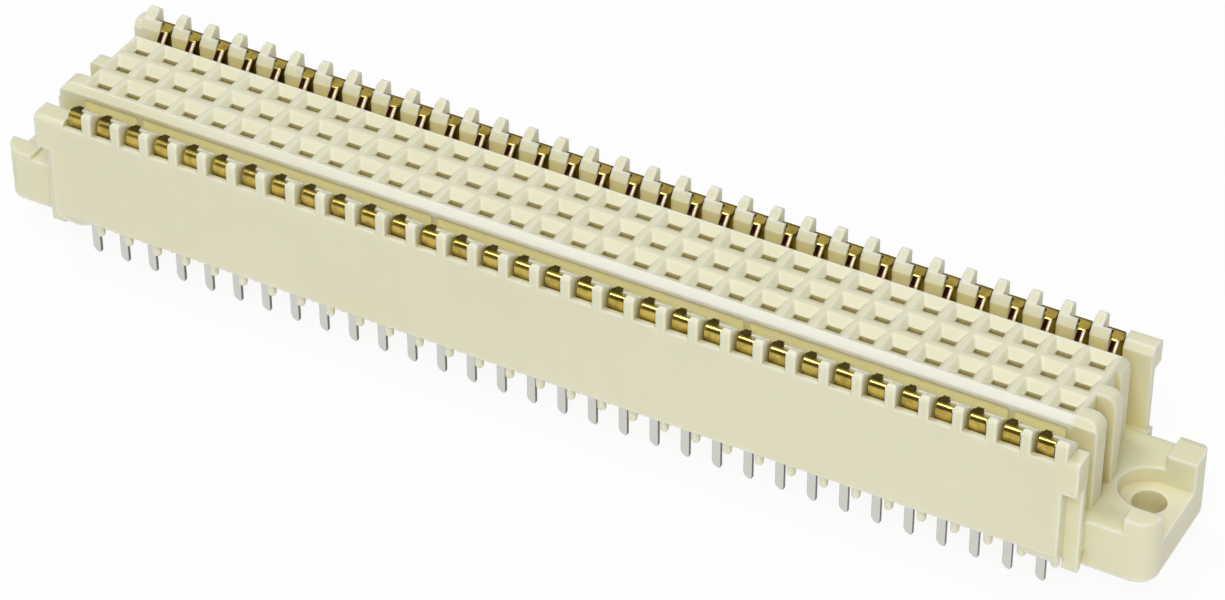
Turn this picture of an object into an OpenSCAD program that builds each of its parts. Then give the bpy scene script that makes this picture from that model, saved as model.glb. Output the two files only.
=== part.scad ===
// Five-row, 160-way socket connector for a backplane board.
// X runs along the rows, Y across them, Z up from the board face at z = 0.
// The two outer walls, their teeth and their spring contacts repeat each other
// turned half round about Z, apart from their heads. Sizes are in millimetres.

/* [Rows] */
// distance between neighbouring contacts and between neighbouring rows
pitch = 2.54; // [2.4:0.01:2.7]
// contacts in each row
columns = 32; // [8:8:40]
// groups that each row of contacts is split into
banks = 4; // [1, 2, 4]

/* [Centre block] */
// width of the block that carries the three inner rows
block_width = 8.4; // [8:0.1:9]
// height of the block above the board
block_height = 11.4; // [10.8:0.1:12.5]
// plain block beyond the last column, from the contact centre
block_end = 1.43; // [1.3:0.01:1.8]
// bevel along the two long top edges
block_bevel = 0.5; // [0.1:0.05:0.6]
// depth of the lead-in funnels
funnel_depth = 0.5; // [0.3:0.05:0.8]
// flat land left between neighbouring funnels
funnel_land = 0.42; // [0.2:0.02:0.8]
// length of each slot along the row
slot_length = 1.16; // [0.9:0.02:1.3]
// width of each slot across the row
slot_width = 0.5; // [0.4:0.02:0.7]
// plastic left above each contact chamber
slot_roof = 0.7; // [0.4:0.05:1.2]
// depth of the panels between the side ribs
panel_depth = 0.3; // [0.1:0.05:0.4]
// height of the rim above the side panels
panel_rim = 0.9; // [0.6:0.1:1.5]
// width of the side ribs
panel_rib = 0.5; // [0.3:0.1:1]
// shift of the side ribs to the right of the gaps between columns
panel_shift = 0.41; // [0:0.01:0.6]

/* [Block ends] */
// width of the fin at the front corner and of the pillar at the rear corner
corner_width = 1.7; // [1:0.1:2]
// reach of the other fins past the end of the block
fin_reach = 1.5; // [0.9:0.1:2]
// radius at the top of the fins
fin_round = 0.9; // [0.3:0.1:1.4]
// reach of the middle fin at the left end
stub_reach = 0.95; // [0.5:0.05:1.5]
// radius at the top of that fin
stub_round = 0.25; // [0.1:0.05:0.5]
// thickness of the fins near the middle
middle_fin = 1.25; // [0.8:0.05:1.4]
// place of the middle fins across the block
middle_fin_y = -0.28; // [-0.6:0.02:0.6]
// reach of the rear pillar past the end of the block
pillar_reach = 0.42; // [0.2:0.02:0.8]
// radius at the top of the pillar
pillar_round = 1.3; // [0.5:0.1:1.6]
// radius at the top of the block between them
end_round = 0.35; // [0.1:0.05:0.6]

/* [Outer walls] */
// gap between the centre block and the outer walls
groove = 1.54; // [1.3:0.02:2]
// height of the groove floor above the board
groove_floor = 3.9; // [3.2:0.1:5]
// thickness of the lips beside the groove
lip = 0.56; // [0.5:0.02:0.8]
// height of the lips
lip_height = 11.3; // [11:0.05:11.7]
// thickness of the wall outside the lips
skin = 1.15; // [1:0.05:1.4]
// part of that thickness left outside the spring chambers
sill_width = 0.45; // [0.25:0.05:0.5]
// height of the sill outside the springs
sill_height = 10.05; // [9:0.05:10.4]
// width of the ribs behind the lips
rib_width = 0.76; // [0.6:0.02:0.94]
// width of the one rib past the last opening
end_rib = 0.95; // [0.8:0.05:1.1]
// height of the ribs
rib_height = 11.85; // [11.75:0.05:12.4]
// radius on the outer top edge of the ribs and heads
rib_round = 0.4; // [0.1:0.05:0.6]
// radius on the side edges of the rib tops
rib_corner = 0.25; // [0.05:0.05:0.3]
// gap between neighbouring lips
lip_gap = 1.09; // [1:0.01:1.3]
// width of the sloped lead-in on the lips
lead_width = 0.4; // [0.2:0.05:0.45]
// height of the sloped lead-in on the lips
lead_height = 0.65; // [0.3:0.05:1]
// height of the wall's lower edge above the board
wall_clear = 1.5; // [1:0.1:1.8]
// bevel along the wall's lower edge
wall_bevel = 0.25; // [0.1:0.05:0.4]

/* [Wall ends] */
// reach of the front lips past the last column, from the contact centre
lip_end = 3.1; // [2.9:0.05:3.4]
// reach of the rear lips past the last column
rear_lip_end = 2.85; // [2.7:0.05:3.4]
// reach of the outer skin past the last column
skin_end = 1.95; // [1.8:0.05:2.4]
// height of the solid heads beside the groove
head_height = 10.45; // [10.2:0.05:10.9]
// rise of the rear heads behind their lead-in
head_rise = 0.55; // [0:0.05:0.7]
// depth of the front heads
head_depth = 2.9; // [2:0.1:4]
// depth of the rear heads
rear_head_depth = 1.45; // [1:0.05:2.5]
// length of the low foot at each end of a wall
foot_length = 2.2; // [1.5:0.1:3]
// length of the slope that leads up from the foot
foot_slope = 1.0; // [0.3:0.1:1.5]
// drop of that foot below the wall
foot_drop = 0.45; // [0.2:0.05:0.7]

/* [Board stand-offs] */
// diameter of the small nubs under the walls
nub_width = 0.66; // [0.4:0.02:0.8]
// gap between the nubs and the board
nub_clear = 0.3; // [0:0.05:0.5]
// place of the nubs along the row, from the contact centre
nub_shift = 1.65; // [1.6:0.05:2]
// distance of the nubs in from the outer face
nub_inset = 0.7; // [0.4:0.05:0.9]

/* [Mounting flanges] */
// length of each flange past the last column's share of the row
flange_length = 6.81; // [6.6:0.01:7.4]
// distance of the hole's centre in from the flange's end
hole_inset = 2.45; // [2.3:0.01:2.6]
// diameter of the mounting holes
hole_d = 2.5; // [2.2:0.1:2.9]
// diameter of the recess round each hole
recess_d = 4.6; // [4:0.1:5]
// depth of that recess
recess_depth = 1.2; // [0.3:0.1:1.6]
// width of the flanges
flange_width = 10.6; // [9:0.1:11]
// height of the flanges
flange_height = 3.95; // [3.2:0.05:4.2]
// radius of the upright flange corners
flange_corner = 1.6; // [0.5:0.1:2]
// height of the two posts on the right flange
post_height = 5.2; // [4.4:0.05:6]
// height of the two pads on the left flange
pad_height = 4.3; // [4.25:0.05:5]
// radius on the rear top edge of the posts
post_round = 0.9; // [0.2:0.1:1.2]
// length of the posts along the row
post_length = 2.3; // [1.5:0.1:2.6]
// length of the pads along the row
pad_length = 2.6; // [1.5:0.1:2.9]
// width of the front posts across the flange
front_post = 1.6; // [1:0.1:2]
// width of the rear posts across the flange
rear_post = 3; // [2:0.1:3.6]

/* [Contacts] */
// thickness of the contact strip
strip = 0.3; // [0.2:0.02:0.32]
// width of the round-tipped tails
tail_width = 0.72; // [0.5:0.02:0.8]
// length of the tails below the board face
tail_length = 2.8; // [2:0.1:5]
// width of the outer spring's upright leg
leg_width = 1.35; // [1.1:0.05:1.4]
// width of its shoulder over the bend
shoulder_width = 0.9; // [0.7:0.02:0.94]
// width of the outer spring's beam
beam_width = 0.58; // [0.4:0.02:0.7]
// height of the bend of the outer springs
bend_height = 11.15; // [10.8:0.05:11.3]
// outer radius of that bend
bend_round = 0.42; // [0.36:0.02:0.5]
// reach of the outer beams into the groove
beam_reach = 0.85; // [0.6:0.05:1]
// depth of the beam's contact point below the bend
beam_drop = 1.05; // [0.9:0.05:2]
// length of the beam's tip below the contact point
beam_tail = 3.5; // [2:0.1:4]
// width of the inner fork contacts
fork_width = 0.9; // [0.7:0.02:1]
// thickness of the fork's tines
tine = 0.22; // [0.16:0.02:0.28]
// gap between the two tines of a fork
fork_gap = 0.16; // [0.1:0.02:0.3]
// clearance round a contact where it passes the housing
fit = 0.04; // [0.02:0.01:0.08]

/* [Hidden] */
$fn = 32;
nub_fn = 16;
eps = 0.01;
over = 1;
row_names = ["z", "a", "b", "c", "d"];
middle_row = (len(row_names) - 1) / 2;
bank_columns = columns / banks;
row_length = columns * pitch;
half_row = (columns - 1) / 2 * pitch;
outer_row = middle_row * pitch;
block_x = half_row + block_end;
block_y = block_width / 2;
lip_y = block_y + groove;
skin_y = lip_y + lip;
wall_y = skin_y + skin;
chamber_y = wall_y - sill_width;
lip_x = half_row + lip_end;
rear_lip_x = half_row + rear_lip_end;
skin_x = half_row + skin_end;
end_x = row_length / 2 + flange_length;
hole_x = end_x - hole_inset;
flange_x = half_row + block_end / 2;
flange_y = flange_width / 2;
// side ribs of the centre block, in sixteenths of the row from its middle
panel_ribs = [-7, -2, 3, 7];
// contact chambers of the inner rows
slot_floor = block_height - funnel_depth;
chamber_roof = slot_floor - slot_roof;
chamber_floor = 2.5;
chamber_size = [1.7, 1.9];
chamber_gap = 0.1;
// straight foot and flared nose of the inner forks
fork_foot = 2.6;
fork_nose = 0.6;
// sides of the pocket behind each gap between the lips
rib_side = lip_gap / 2;
pocket_side = pitch - rib_side - rib_width;
leg_shift = (rib_side - pocket_side) / 2;
leg_gap = 0.05;
// place and slope of the beam where it leaves the bend
beam_bend = 0.08;
beam_turn = 45;

function column_x(i) = (i - (columns - 1) / 2) * pitch;
function row_y(r) = (r - middle_row) * pitch;
function arc(c, r, from, to, n = 4) =
    [for (i = [0:n]) let (a = from + (to - from) * i / n) c + r * [cos(a), sin(a)]];
// height at y of the sloping face that leaves the outer bend at radius r
function slope_z(r, y) =
    bend_height - bend_round + r * cos(beam_turn)
        - (lip_y + beam_bend - r * sin(beam_turn) - y) * tan(beam_turn);

// a profile drawn in Y and Z, carried along X from x0 to x1
module along_x(x0, x1)
    translate([x0, 0, 0])
        rotate([90, 0, 90])
            linear_extrude(x1 - x0)
                children();

// a profile drawn in X and Z, carried along Y from y0 to y1
module along_y(y0, y1)
    translate([0, y1, 0])
        rotate([90, 0, 0])
            linear_extrude(y1 - y0)
                children();

// a box from one corner to the other
module block(a, b)
    translate(a)
        cube(b - a);

// the same piece at the rear and, turned half round, at the front
module both_sides() {
    children();
    rotate(180)
        children();
}

// the same piece at the right and, mirrored, at the left
module both_ends() {
    children();
    mirror([1, 0, 0])
        children();
}

// side view of a stretch of the centre block that ends in a round top corner
module end_view(from, reach, radius)
    polygon(concat(
        [[from, wall_clear], [block_x + reach, wall_clear]],
        arc([block_x + reach - radius, block_height - radius], radius, 0, 90),
        [[from, block_height]]
    ));

// middle fin of the right end, with the given reach and top radius
module middle_fin_piece(reach, radius)
    along_y(middle_fin_y - middle_fin / 2, middle_fin_y + middle_fin / 2)
        end_view(half_row, reach, radius);

// centre block with its fins and pillars, bevelled along both long edges
module centre_block()
    intersection() {
        along_x(-lip_x, lip_x)
            polygon([
                [-block_y, wall_clear],
                [block_y, wall_clear],
                [block_y, block_height - block_bevel],
                [block_y - block_bevel, block_height],
                [block_bevel - block_y, block_height],
                [-block_y, block_height - block_bevel]
            ]);
        union() {
            both_ends() {
                along_y(-block_y, block_y)
                    end_view(-eps, 0, end_round);
                along_y(block_y - corner_width, block_y)
                    end_view(half_row, pillar_reach, pillar_round);
                along_y(-block_y, corner_width - block_y)
                    end_view(half_row, fin_reach, fin_round);
            }
            middle_fin_piece(fin_reach, fin_round);
            mirror([1, 0, 0])
                middle_fin_piece(stub_reach, stub_round);
        }
    }

// recessed panels between the ribs on the rear face of the block
module side_panels() {
    tall = block_height - panel_rim - groove_floor;
    ribs = [for (k = panel_ribs) k * row_length / 16 + panel_shift];
    stops = concat(-block_x + panel_rib, ribs, block_x - panel_rib);
    for (i = [1:len(stops) - 1])
        translate([(stops[i - 1] + stops[i]) / 2, block_y, groove_floor + tall / 2])
            cube([stops[i] - stops[i - 1] - panel_rib, 2 * panel_depth, tall], center = true);
}

// four-sided lead-in funnels over the three inner rows
module funnels() {
    mouth = (pitch - funnel_land) / 2;
    rise = funnel_depth + eps;
    intersection() {
        for (r = [1:3])
            translate([0, row_y(r), slot_floor])
                along_x(-block_x, block_x)
                    polygon([
                        [-slot_width / 2, 0],
                        [slot_width / 2, 0],
                        [mouth, rise],
                        [-mouth, rise]
                    ]);
        for (i = [0:columns - 1])
            translate([column_x(i), 0, slot_floor])
                along_y(-block_y, block_y)
                    polygon([
                        [-slot_length / 2, 0],
                        [slot_length / 2, 0],
                        [mouth, rise],
                        [-mouth, rise]
                    ]);
    }
}

// rectangles of one size at every column of the three inner rows
module inner_grid(size)
    for (r = [1:3])
        for (i = [0:columns - 1])
            translate([column_x(i), row_y(r)])
                square(size, center = true);

// slots, contact chambers and tail slots of the inner rows
module inner_cavities() {
    translate([0, 0, chamber_roof - eps])
        linear_extrude(slot_roof + 2 * eps)
            inner_grid([slot_length, slot_width]);
    translate([0, 0, chamber_floor])
        linear_extrude(chamber_roof - chamber_floor)
            inner_grid(chamber_size);
    translate([0, 0, -over])
        linear_extrude(chamber_floor + over + eps)
            inner_grid([tail_width + 2 * fit, strip + 2 * fit]);
}

// section of the plain wall from the given height up to its round outer edge
module wall_section(from, rise)
    polygon(concat(
        [[lip_y, from], [wall_y, from]],
        arc([wall_y - rib_round, head_height + rise - rib_round], rib_round, 0, 90),
        [[lip_y + lead_width, head_height + rise], [lip_y, head_height]]
    ));

// section of a tooth: low lip with its lead-in, and taller rib behind it
module tooth_section()
    polygon(concat(
        [
            [lip_y, head_height - over],
            [wall_y, head_height - over]
        ],
        arc([wall_y - rib_round, rib_height - rib_round], rib_round, 0, 90),
        [
            [skin_y, lip_height],
            [lip_y + lead_width, lip_height],
            [lip_y, lip_height - lead_height]
        ]
    ));

// front view of the opening between two ribs, flared over their round tops
module window_view(from)
    polygon(concat(
        [[-pocket_side, from], [rib_side, from]],
        arc([rib_side + rib_corner, rib_height - rib_corner], rib_corner, 180, 90),
        [
            [rib_side + rib_corner, rib_height + over],
            [-pocket_side - rib_corner, rib_height + over]
        ],
        arc([-pocket_side - rib_corner, rib_height - rib_corner], rib_corner, 90, 0)
    ));

// openings of the rear wall, which leave the teeth standing
module wall_openings()
    for (i = [0:columns - 1])
        translate([column_x(i), 0, 0]) {
            along_y(skin_y, wall_y + over)
                window_view(sill_height);
            block(
                [-rib_side, lip_y - eps, groove_floor],
                [rib_side, skin_y + eps, rib_height + over]
            );
            // spring chamber inside the sill
            block(
                [-pocket_side, skin_y, chamber_floor],
                [rib_side, chamber_y, sill_height + eps]
            );
        }

// plain wall with its bevelled lower edge
module wall_skin(rise)
    intersection() {
        along_x(-skin_x, skin_x)
            wall_section(wall_clear, rise);
        along_x(-skin_x, skin_x)
            polygon([
                [lip_y, wall_clear],
                [wall_y - wall_bevel, wall_clear],
                [wall_y, wall_clear + wall_bevel],
                [wall_y, rib_height],
                [lip_y, rib_height]
            ]);
    }

// end of a wall: lips carried on past the skin down to the board, head and foot
module wall_end(rise, reach_x, depth) {
    block([skin_x - eps, lip_y, 0], [reach_x, skin_y, head_height - rib_round]);
    along_x(skin_x - eps, reach_x)
        wall_section(head_height - depth, rise);
    along_y(lip_y, wall_y - wall_bevel)
        polygon([
            [skin_x - foot_length - foot_slope, wall_clear + eps],
            [skin_x - foot_length, wall_clear - foot_drop],
            [skin_x, wall_clear - foot_drop],
            [skin_x, wall_clear + eps]
        ]);
}

// teeth of the rear wall, not yet parted, with one more rib at the left
module tooth_row() {
    from = -half_row - pocket_side - end_rib;
    difference() {
        along_x(from, half_row + rib_side)
            tooth_section();
        translate([from - rib_side, 0, 0])
            along_y(skin_y, wall_y + over)
                window_view(head_height);
    }
}

// rear wall with its teeth, heads, feet and nubs
module rear_wall(rise, reach_x, depth) {
    difference() {
        union() {
            wall_skin(rise);
            tooth_row();
            both_ends()
                wall_end(rise, reach_x, depth);
        }
        wall_openings();
    }
    for (i = [0:columns - 1])
        translate([column_x(i) - nub_shift, wall_y - nub_inset, nub_clear])
            nub();
}

// round-ended nub
module nub()
    translate([0, 0, nub_width / 2]) {
        cylinder(h = wall_clear - nub_clear - nub_width / 2 + eps, d = nub_width, $fn = nub_fn);
        sphere(d = nub_width, $fn = nub_fn);
    }

// floor that ties block, walls and flanges together
module floor_slab()
    block([-lip_x, -skin_y, wall_clear], [lip_x, skin_y, groove_floor]);

// way in from below for each outer spring of the rear row
module spring_ways()
    for (i = [0:columns - 1])
        translate([column_x(i), 0, 0])
            block(
                [-pocket_side, outer_row - strip / 2 - fit, -over],
                [rib_side, chamber_y, chamber_floor + eps]
            );

// flange outline with round outer corners, for the right end
module flange_outline()
    union() {
        translate([flange_x, -flange_y])
            square([end_x - flange_corner - flange_x, flange_width]);
        translate([flange_x, flange_corner - flange_y])
            square([end_x - flange_x, flange_width - 2 * flange_corner]);
        for (s = [-1, 1])
            translate([end_x - flange_corner, s * (flange_y - flange_corner)])
                circle(flange_corner);
    }

// flange with its hole, the recess round it and two posts of the given size
module flange(posts, reach) {
    front = front_post - flange_y;
    rear = flange_y - rear_post;
    radius = min(post_round, posts - flange_height);
    difference() {
        intersection() {
            linear_extrude(posts)
                flange_outline();
            along_x(flange_x, end_x)
                polygon(concat(
                    [[-flange_y, 0], [flange_y, 0]],
                    arc([flange_y - radius, posts - radius], radius, 0, 90),
                    [[-flange_y, posts]]
                ));
        }
        // step down from the posts to the flange top
        block(
            [0, -flange_y - over, flange_height],
            [end_x - reach, flange_y + over, posts + over]
        );
        block([0, front, flange_height], [end_x + over, rear, posts + over]);
        // recess that runs out between the posts
        translate([0, 0, flange_height - recess_depth])
            linear_extrude(posts) {
                translate([hole_x, 0])
                    circle(d = recess_d);
                translate([end_x - reach, front])
                    square([reach + over, rear - front]);
            }
        translate([hole_x, 0, -over])
            cylinder(h = posts + 2 * over, d = hole_d);
    }
}

module housing()
    color([0.93, 0.91, 0.78])
        difference() {
            union() {
                difference() {
                    union() {
                        centre_block();
                        floor_slab();
                    }
                    side_panels();
                    mirror([0, 1, 0])
                        side_panels();
                }
                rear_wall(head_rise, rear_lip_x, rear_head_depth);
                rotate(180)
                    rear_wall(0, lip_x, head_depth);
                flange(post_height, post_length);
                mirror([1, 0, 0])
                    flange(pad_height, pad_length);
            }
            funnels();
            inner_cavities();
            both_sides()
                spring_ways();
        }

// tail with a round tip, up to the given height
module tail(top)
    along_y(-strip / 2, strip / 2) {
        translate([-tail_width / 2, tail_width / 2 - tail_length])
            square([tail_width, top + tail_length - tail_width / 2]);
        translate([0, tail_width / 2 - tail_length])
            circle(d = tail_width);
    }

// outer spring of the rear row: tail, foot, upright leg, bend, shoulder and beam
module outer_spring() {
    leg_out = chamber_y - leg_gap;
    foot_in = outer_row - strip / 2;
    bend_z = bend_height - bend_round;
    inner_round = bend_round - strip;
    bend_y = lip_y + beam_bend;
    beam_y = lip_y - beam_reach;
    beam_z = bend_height - beam_drop;
    turn = 90 + beam_turn;
    translate([0, outer_row, 0])
        tail(chamber_floor);
    translate([leg_shift, 0, 0])
        along_x(-leg_width / 2, leg_width / 2)
            polygon(concat(
                [[foot_in, chamber_floor - strip], [leg_out, chamber_floor - strip]],
                arc([leg_out - bend_round, bend_z], bend_round, 0, 90),
                arc([leg_out - bend_round, bend_z], inner_round, 90, 0),
                [[leg_out - strip, chamber_floor], [foot_in, chamber_floor]]
            ));
    along_x(-shoulder_width / 2, shoulder_width / 2)
        polygon(concat(
            arc([leg_out - bend_round, bend_z], bend_round, 60, 90, 2),
            [[bend_y, bend_height], [bend_y, bend_height - strip]]
        ));
    along_x(-beam_width / 2, beam_width / 2)
        polygon(concat(
            [[leg_out - bend_round, bend_height]],
            arc([bend_y, bend_z], bend_round, 90, turn, 3),
            [
                [beam_y, slope_z(bend_round, beam_y)],
                [beam_y, beam_z],
                [lip_y, beam_z - beam_tail],
                [lip_y + strip, beam_z - beam_tail],
                [beam_y + strip, beam_z],
                [beam_y + strip, slope_z(inner_round, beam_y + strip)]
            ],
            arc([bend_y, bend_z], inner_round, turn, 90, 3),
            [[leg_out - bend_round, bend_height - strip]]
        ));
}

// inner fork: tail, foot and two tines that close and then flare
module inner_fork() {
    top = chamber_roof - chamber_gap;
    root = chamber_size.y / 2 - chamber_gap;
    shoulder = chamber_floor + fork_foot;
    mouth = slot_width / 2;
    tail(chamber_floor + strip);
    along_x(-fork_width / 2, fork_width / 2)
        for (s = [1, -1])
            scale([s, 1])
                polygon([
                    [0, chamber_floor],
                    [root, chamber_floor],
                    [root, shoulder],
                    [fork_gap / 2 + tine, top - fork_nose],
                    [mouth + tine, top],
                    [mouth, top],
                    [fork_gap / 2, top - fork_nose],
                    [root - tine, shoulder],
                    [root - tine, chamber_floor + strip],
                    [0, chamber_floor + strip]
                ]);
}

// one bank of one row of contacts
module bank(r, b) {
    last = len(row_names) - 1;
    outer = r == 0 || r == last;
    color(outer ? [0.83, 0.66, 0.27] : [0.76, 0.62, 0.34])
        for (i = [(b - 1) * bank_columns:b * bank_columns - 1])
            translate([column_x(i), 0, 0]) {
                if (r == 0)
                    rotate(180)
                        outer_spring();
                if (r == last)
                    outer_spring();
                if (!outer)
                    translate([0, row_y(r), 0])
                        inner_fork();
            }
}

housing();
for (r = [0:len(row_names) - 1])
    for (b = [1:banks])
        bank(r, b);
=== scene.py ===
"""Looks of a five-row socket connector for a backplane board.

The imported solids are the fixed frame. The moulded housing keeps its solid and gets a
plastic finish. Every spring contact is made again as one strip of metal and every fork
as two: a rounded section carried along a bent path, with the width, the crown and the
round tip that a stamped contact has. Lengths are in millimetres in the classes and in
metres in the meshes. X runs along the rows, Y across them, Z up from the board face.
"""

import logging
from dataclasses import dataclass, replace
from enum import Enum

import bpy
import numpy as np
from mathutils import Matrix, Vector


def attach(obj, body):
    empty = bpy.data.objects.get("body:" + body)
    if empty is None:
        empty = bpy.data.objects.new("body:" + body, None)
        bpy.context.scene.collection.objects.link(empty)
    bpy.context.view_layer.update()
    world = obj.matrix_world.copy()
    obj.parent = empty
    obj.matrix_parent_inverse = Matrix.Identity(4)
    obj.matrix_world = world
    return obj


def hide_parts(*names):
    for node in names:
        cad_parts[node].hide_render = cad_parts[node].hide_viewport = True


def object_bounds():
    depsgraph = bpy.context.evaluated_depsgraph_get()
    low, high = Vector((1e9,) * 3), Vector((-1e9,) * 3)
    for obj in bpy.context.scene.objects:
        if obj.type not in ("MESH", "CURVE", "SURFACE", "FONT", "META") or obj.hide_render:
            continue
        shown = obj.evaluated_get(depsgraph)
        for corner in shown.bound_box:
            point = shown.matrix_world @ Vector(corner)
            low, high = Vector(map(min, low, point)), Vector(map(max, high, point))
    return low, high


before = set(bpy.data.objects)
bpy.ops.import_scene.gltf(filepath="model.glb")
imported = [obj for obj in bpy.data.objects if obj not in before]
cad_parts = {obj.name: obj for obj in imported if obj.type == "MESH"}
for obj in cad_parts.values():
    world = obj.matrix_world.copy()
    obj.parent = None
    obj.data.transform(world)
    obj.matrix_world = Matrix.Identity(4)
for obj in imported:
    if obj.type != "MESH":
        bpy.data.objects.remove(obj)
CAD_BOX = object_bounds()

MM = 0.001
TAIL_TIP = round(CAD_BOX[0][2] / MM, 2)
BODY = "root"
BANKS = (1, 2, 3, 4)
COLUMNS = 32
PITCH = 2.54
# point attributes: the cut edges with their painted highlight, and the painted dark reflection
CUT_EDGE_AND_HIGHLIGHT = "cut_edge"
SHADED = "shaded"
NOISE_ROUGHNESS = 0.55
# in mm: stops nearer than this are one, a width table's far end, where a round tip's
# first section stands, and how far behind a section's corner its broad face starts
SAME_PLACE, FAR, TIP_START, FACE_START = 1e-4, 1000.0, 0.01, 0.05
# in degrees: where a round tip has its sections
TIP_ANGLES = (8, 25, 45, 65, 90)
# the greatest share of the half width that a corner's inset takes
INSET_SHARE = 0.6
# the points along one side of the floor
FLOOR_POINTS = 5
# the camera's sensor in mm, and its near end of sight in metres
SENSOR_WIDTH, NEAR_CLIP = 36, 0.01
# the Mix node's sockets for colours
MIX_FACTOR, MIX_FIRST, MIX_SECOND, MIX_RESULT = 0, 6, 7, 2
LOG = logging.getLogger("connector")

Colour = tuple[float, float, float]
Triple = tuple[float, float, float]
Pair = tuple[float, float]
Quad = tuple[float, float, float, float]
Node = bpy.types.Node
Socket = tuple[Node, str | int]
BLACK: Colour = (0, 0, 0)


class Side(Enum):
    """The wall that a bank of outer springs stands in."""

    FRONT = "z"
    REAR = "d"


class InnerRow(Enum):
    """The three rows of forks in the centre block, by name."""

    FIRST = "a"
    MIDDLE = "b"
    LAST = "c"


def linear(colour: Colour) -> Quad:
    """Turns a screen colour into the linear values that a shader socket holds.

    Each channel c from 0 to 255 is scaled to 0..1, and is then c / 12.92 where it is dark
    and ((c + 0.055) / 1.055) to the power 2.4 elsewhere.

    Args:
        colour: red, green and blue as they should look, from 0 to 255.

    Returns:
        The linear red, green and blue, and an alpha of 1.
    """
    c = np.array(colour, float) / 255
    value = np.where(c <= 0.04045, c / 12.92, ((c + 0.055) / 1.055) ** 2.4)
    return (*value.tolist(), 1.0)


def stand(place: Triple, aim: Triple) -> Matrix:
    """Works out how a lamp or a camera stands.

    Args:
        place: where it stands, in mm.
        aim: the point it faces, in mm.

    Returns:
        The matrix that puts it there and turns its -Z axis to the aim.
    """
    way = Vector(aim) - Vector(place)
    turn = way.to_track_quat("-Z", "Y").to_matrix().to_4x4()
    return Matrix.Translation(Vector(place) * MM) @ turn


def show(name: str, data: bpy.types.ID) -> bpy.types.Object:
    """Makes an object of a mesh, a lamp or a camera and puts it into the scene."""
    made = bpy.data.objects.new(name, data)
    bpy.context.scene.collection.objects.link(made)
    return made


@dataclass
class Board:
    """A node tree that is being filled.

    Args:
        tree: the tree of a material, a world or a group.
    """

    tree: bpy.types.NodeTree

    def add(self, kind: str, values: dict | None = None, **options: object) -> Node:
        """Adds one node.

        Args:
            kind: the node's type, without its leading "ShaderNode".
            values: numbers or colours for the node's inputs, by name or place.
            options: settings of the node itself.

        Returns:
            The new node.
        """
        node = self.tree.nodes.new("ShaderNode" + kind)
        for name, value in options.items():
            setattr(node, name, value)
        for key, value in (values or {}).items():
            node.inputs[key].default_value = value
        return node

    def join(self, node: Node, out: str | int, to: Node, into: str | int) -> None:
        """Links one output of a node to one input of another."""
        self.tree.links.new(node.outputs[out], to.inputs[into])

    def noise(self, source: Node, scale: Triple, detail: float) -> Node:
        """Adds a noise pattern with its own scale along each axis.

        Args:
            source: the node whose first output is the place in space.
            scale: how many cells fit in one unit along X, Y and Z.
            detail: how many finer layers lie on the first.

        Returns:
            The noise node, whose first output runs from 0 to 1.
        """
        place = self.add("Mapping", {"Scale": scale})
        values = {"Scale": 1.0, "Detail": detail, "Roughness": NOISE_ROUGHNESS}
        noise = self.add("TexNoise", values)
        self.join(source, 0, place, "Vector")
        self.join(place, 0, noise, "Vector")
        return noise

    def ramp(self, source: Node, low: float, high: float, out: str | int = 0) -> Node:
        """Adds a smooth step.

        Args:
            source: the node whose value is read.
            low: the value at which the step is 0.
            high: the value at which it is 1. It may lie below the other one.
            out: the output of the node that is read.

        Returns:
            The node whose first output is the step.
        """
        limits = {"From Min": low, "From Max": high}
        step = self.add("MapRange", limits, interpolation_type="SMOOTHSTEP")
        self.join(source, out, step, "Value")
        return step

    def window(self, source: Node, marks: list[float], out: str | int = 0) -> Node:
        """Adds a mask of what lies between two values.

        Args:
            source: the node whose value is read.
            marks: where the mask starts to rise, is full, starts to fall and has fallen.
            out: the output of the node that is read.

        Returns:
            The node whose first output is the mask.
        """
        low, full, fading, high = marks
        rise = self.ramp(source, low, full, out)
        return self.product(rise, self.ramp(source, high, fading, out))

    def greater(self, first: Socket, second: Socket) -> Node:
        """Adds a node whose first output is the greater of two outputs."""
        most = self.add("Math", operation="MAXIMUM")
        self.join(*first, most, 0)
        self.join(*second, most, 1)
        return most

    def product(self, first: Node, *others: Node) -> Node:
        """Multiplies values.

        Args:
            first: the node whose first output is the first value.
            others: the nodes of the other values.

        Returns:
            The node whose first output is the product.
        """
        result = first
        for other in others:
            times = self.add("Math", operation="MULTIPLY")
            self.join(result, 0, times, 0)
            self.join(other, 0, times, 1)
            result = times
        return result

    def blend(self, factor: Socket, first: Socket | Colour, second: Socket | Colour) -> Socket:
        """Adds a colour mix.

        Args:
            factor: the node and the output that choose between the two.
            first: a colour, or a node and its output, shown where the factor is 0.
            second: the same, shown where the factor is 1.

        Returns:
            The mix node and its output for colours.
        """
        mix = self.add("Mix", data_type="RGBA")
        self.join(*factor, mix, MIX_FACTOR)
        for slot, colour in ((MIX_FIRST, first), (MIX_SECOND, second)):
            if isinstance(colour[0], Node):
                self.join(*colour, mix, slot)
            else:
                mix.inputs[slot].default_value = linear(colour)
        return mix, MIX_RESULT


@dataclass(frozen=True)
class SharedEffect:
    """A node group that several finishes read: a place goes in, masks and heights come out.

    Args:
        name: the group's name.
        outputs: the names of its outputs.
    """

    name: str
    outputs: tuple[str, ...]

    def open(self) -> tuple[Board, Node, Node]:
        """Makes the empty group.

        Returns:
            The board of the group, its input node and its output node.
        """
        group = bpy.data.node_groups.new(self.name, "ShaderNodeTree")
        group.interface.new_socket("Place", in_out="INPUT", socket_type="NodeSocketVector")
        for name in self.outputs:
            group.interface.new_socket(name, in_out="OUTPUT", socket_type="NodeSocketFloat")
        start = group.nodes.new("NodeGroupInput")
        end = group.nodes.new("NodeGroupOutput")
        return Board(group), start, end


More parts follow.
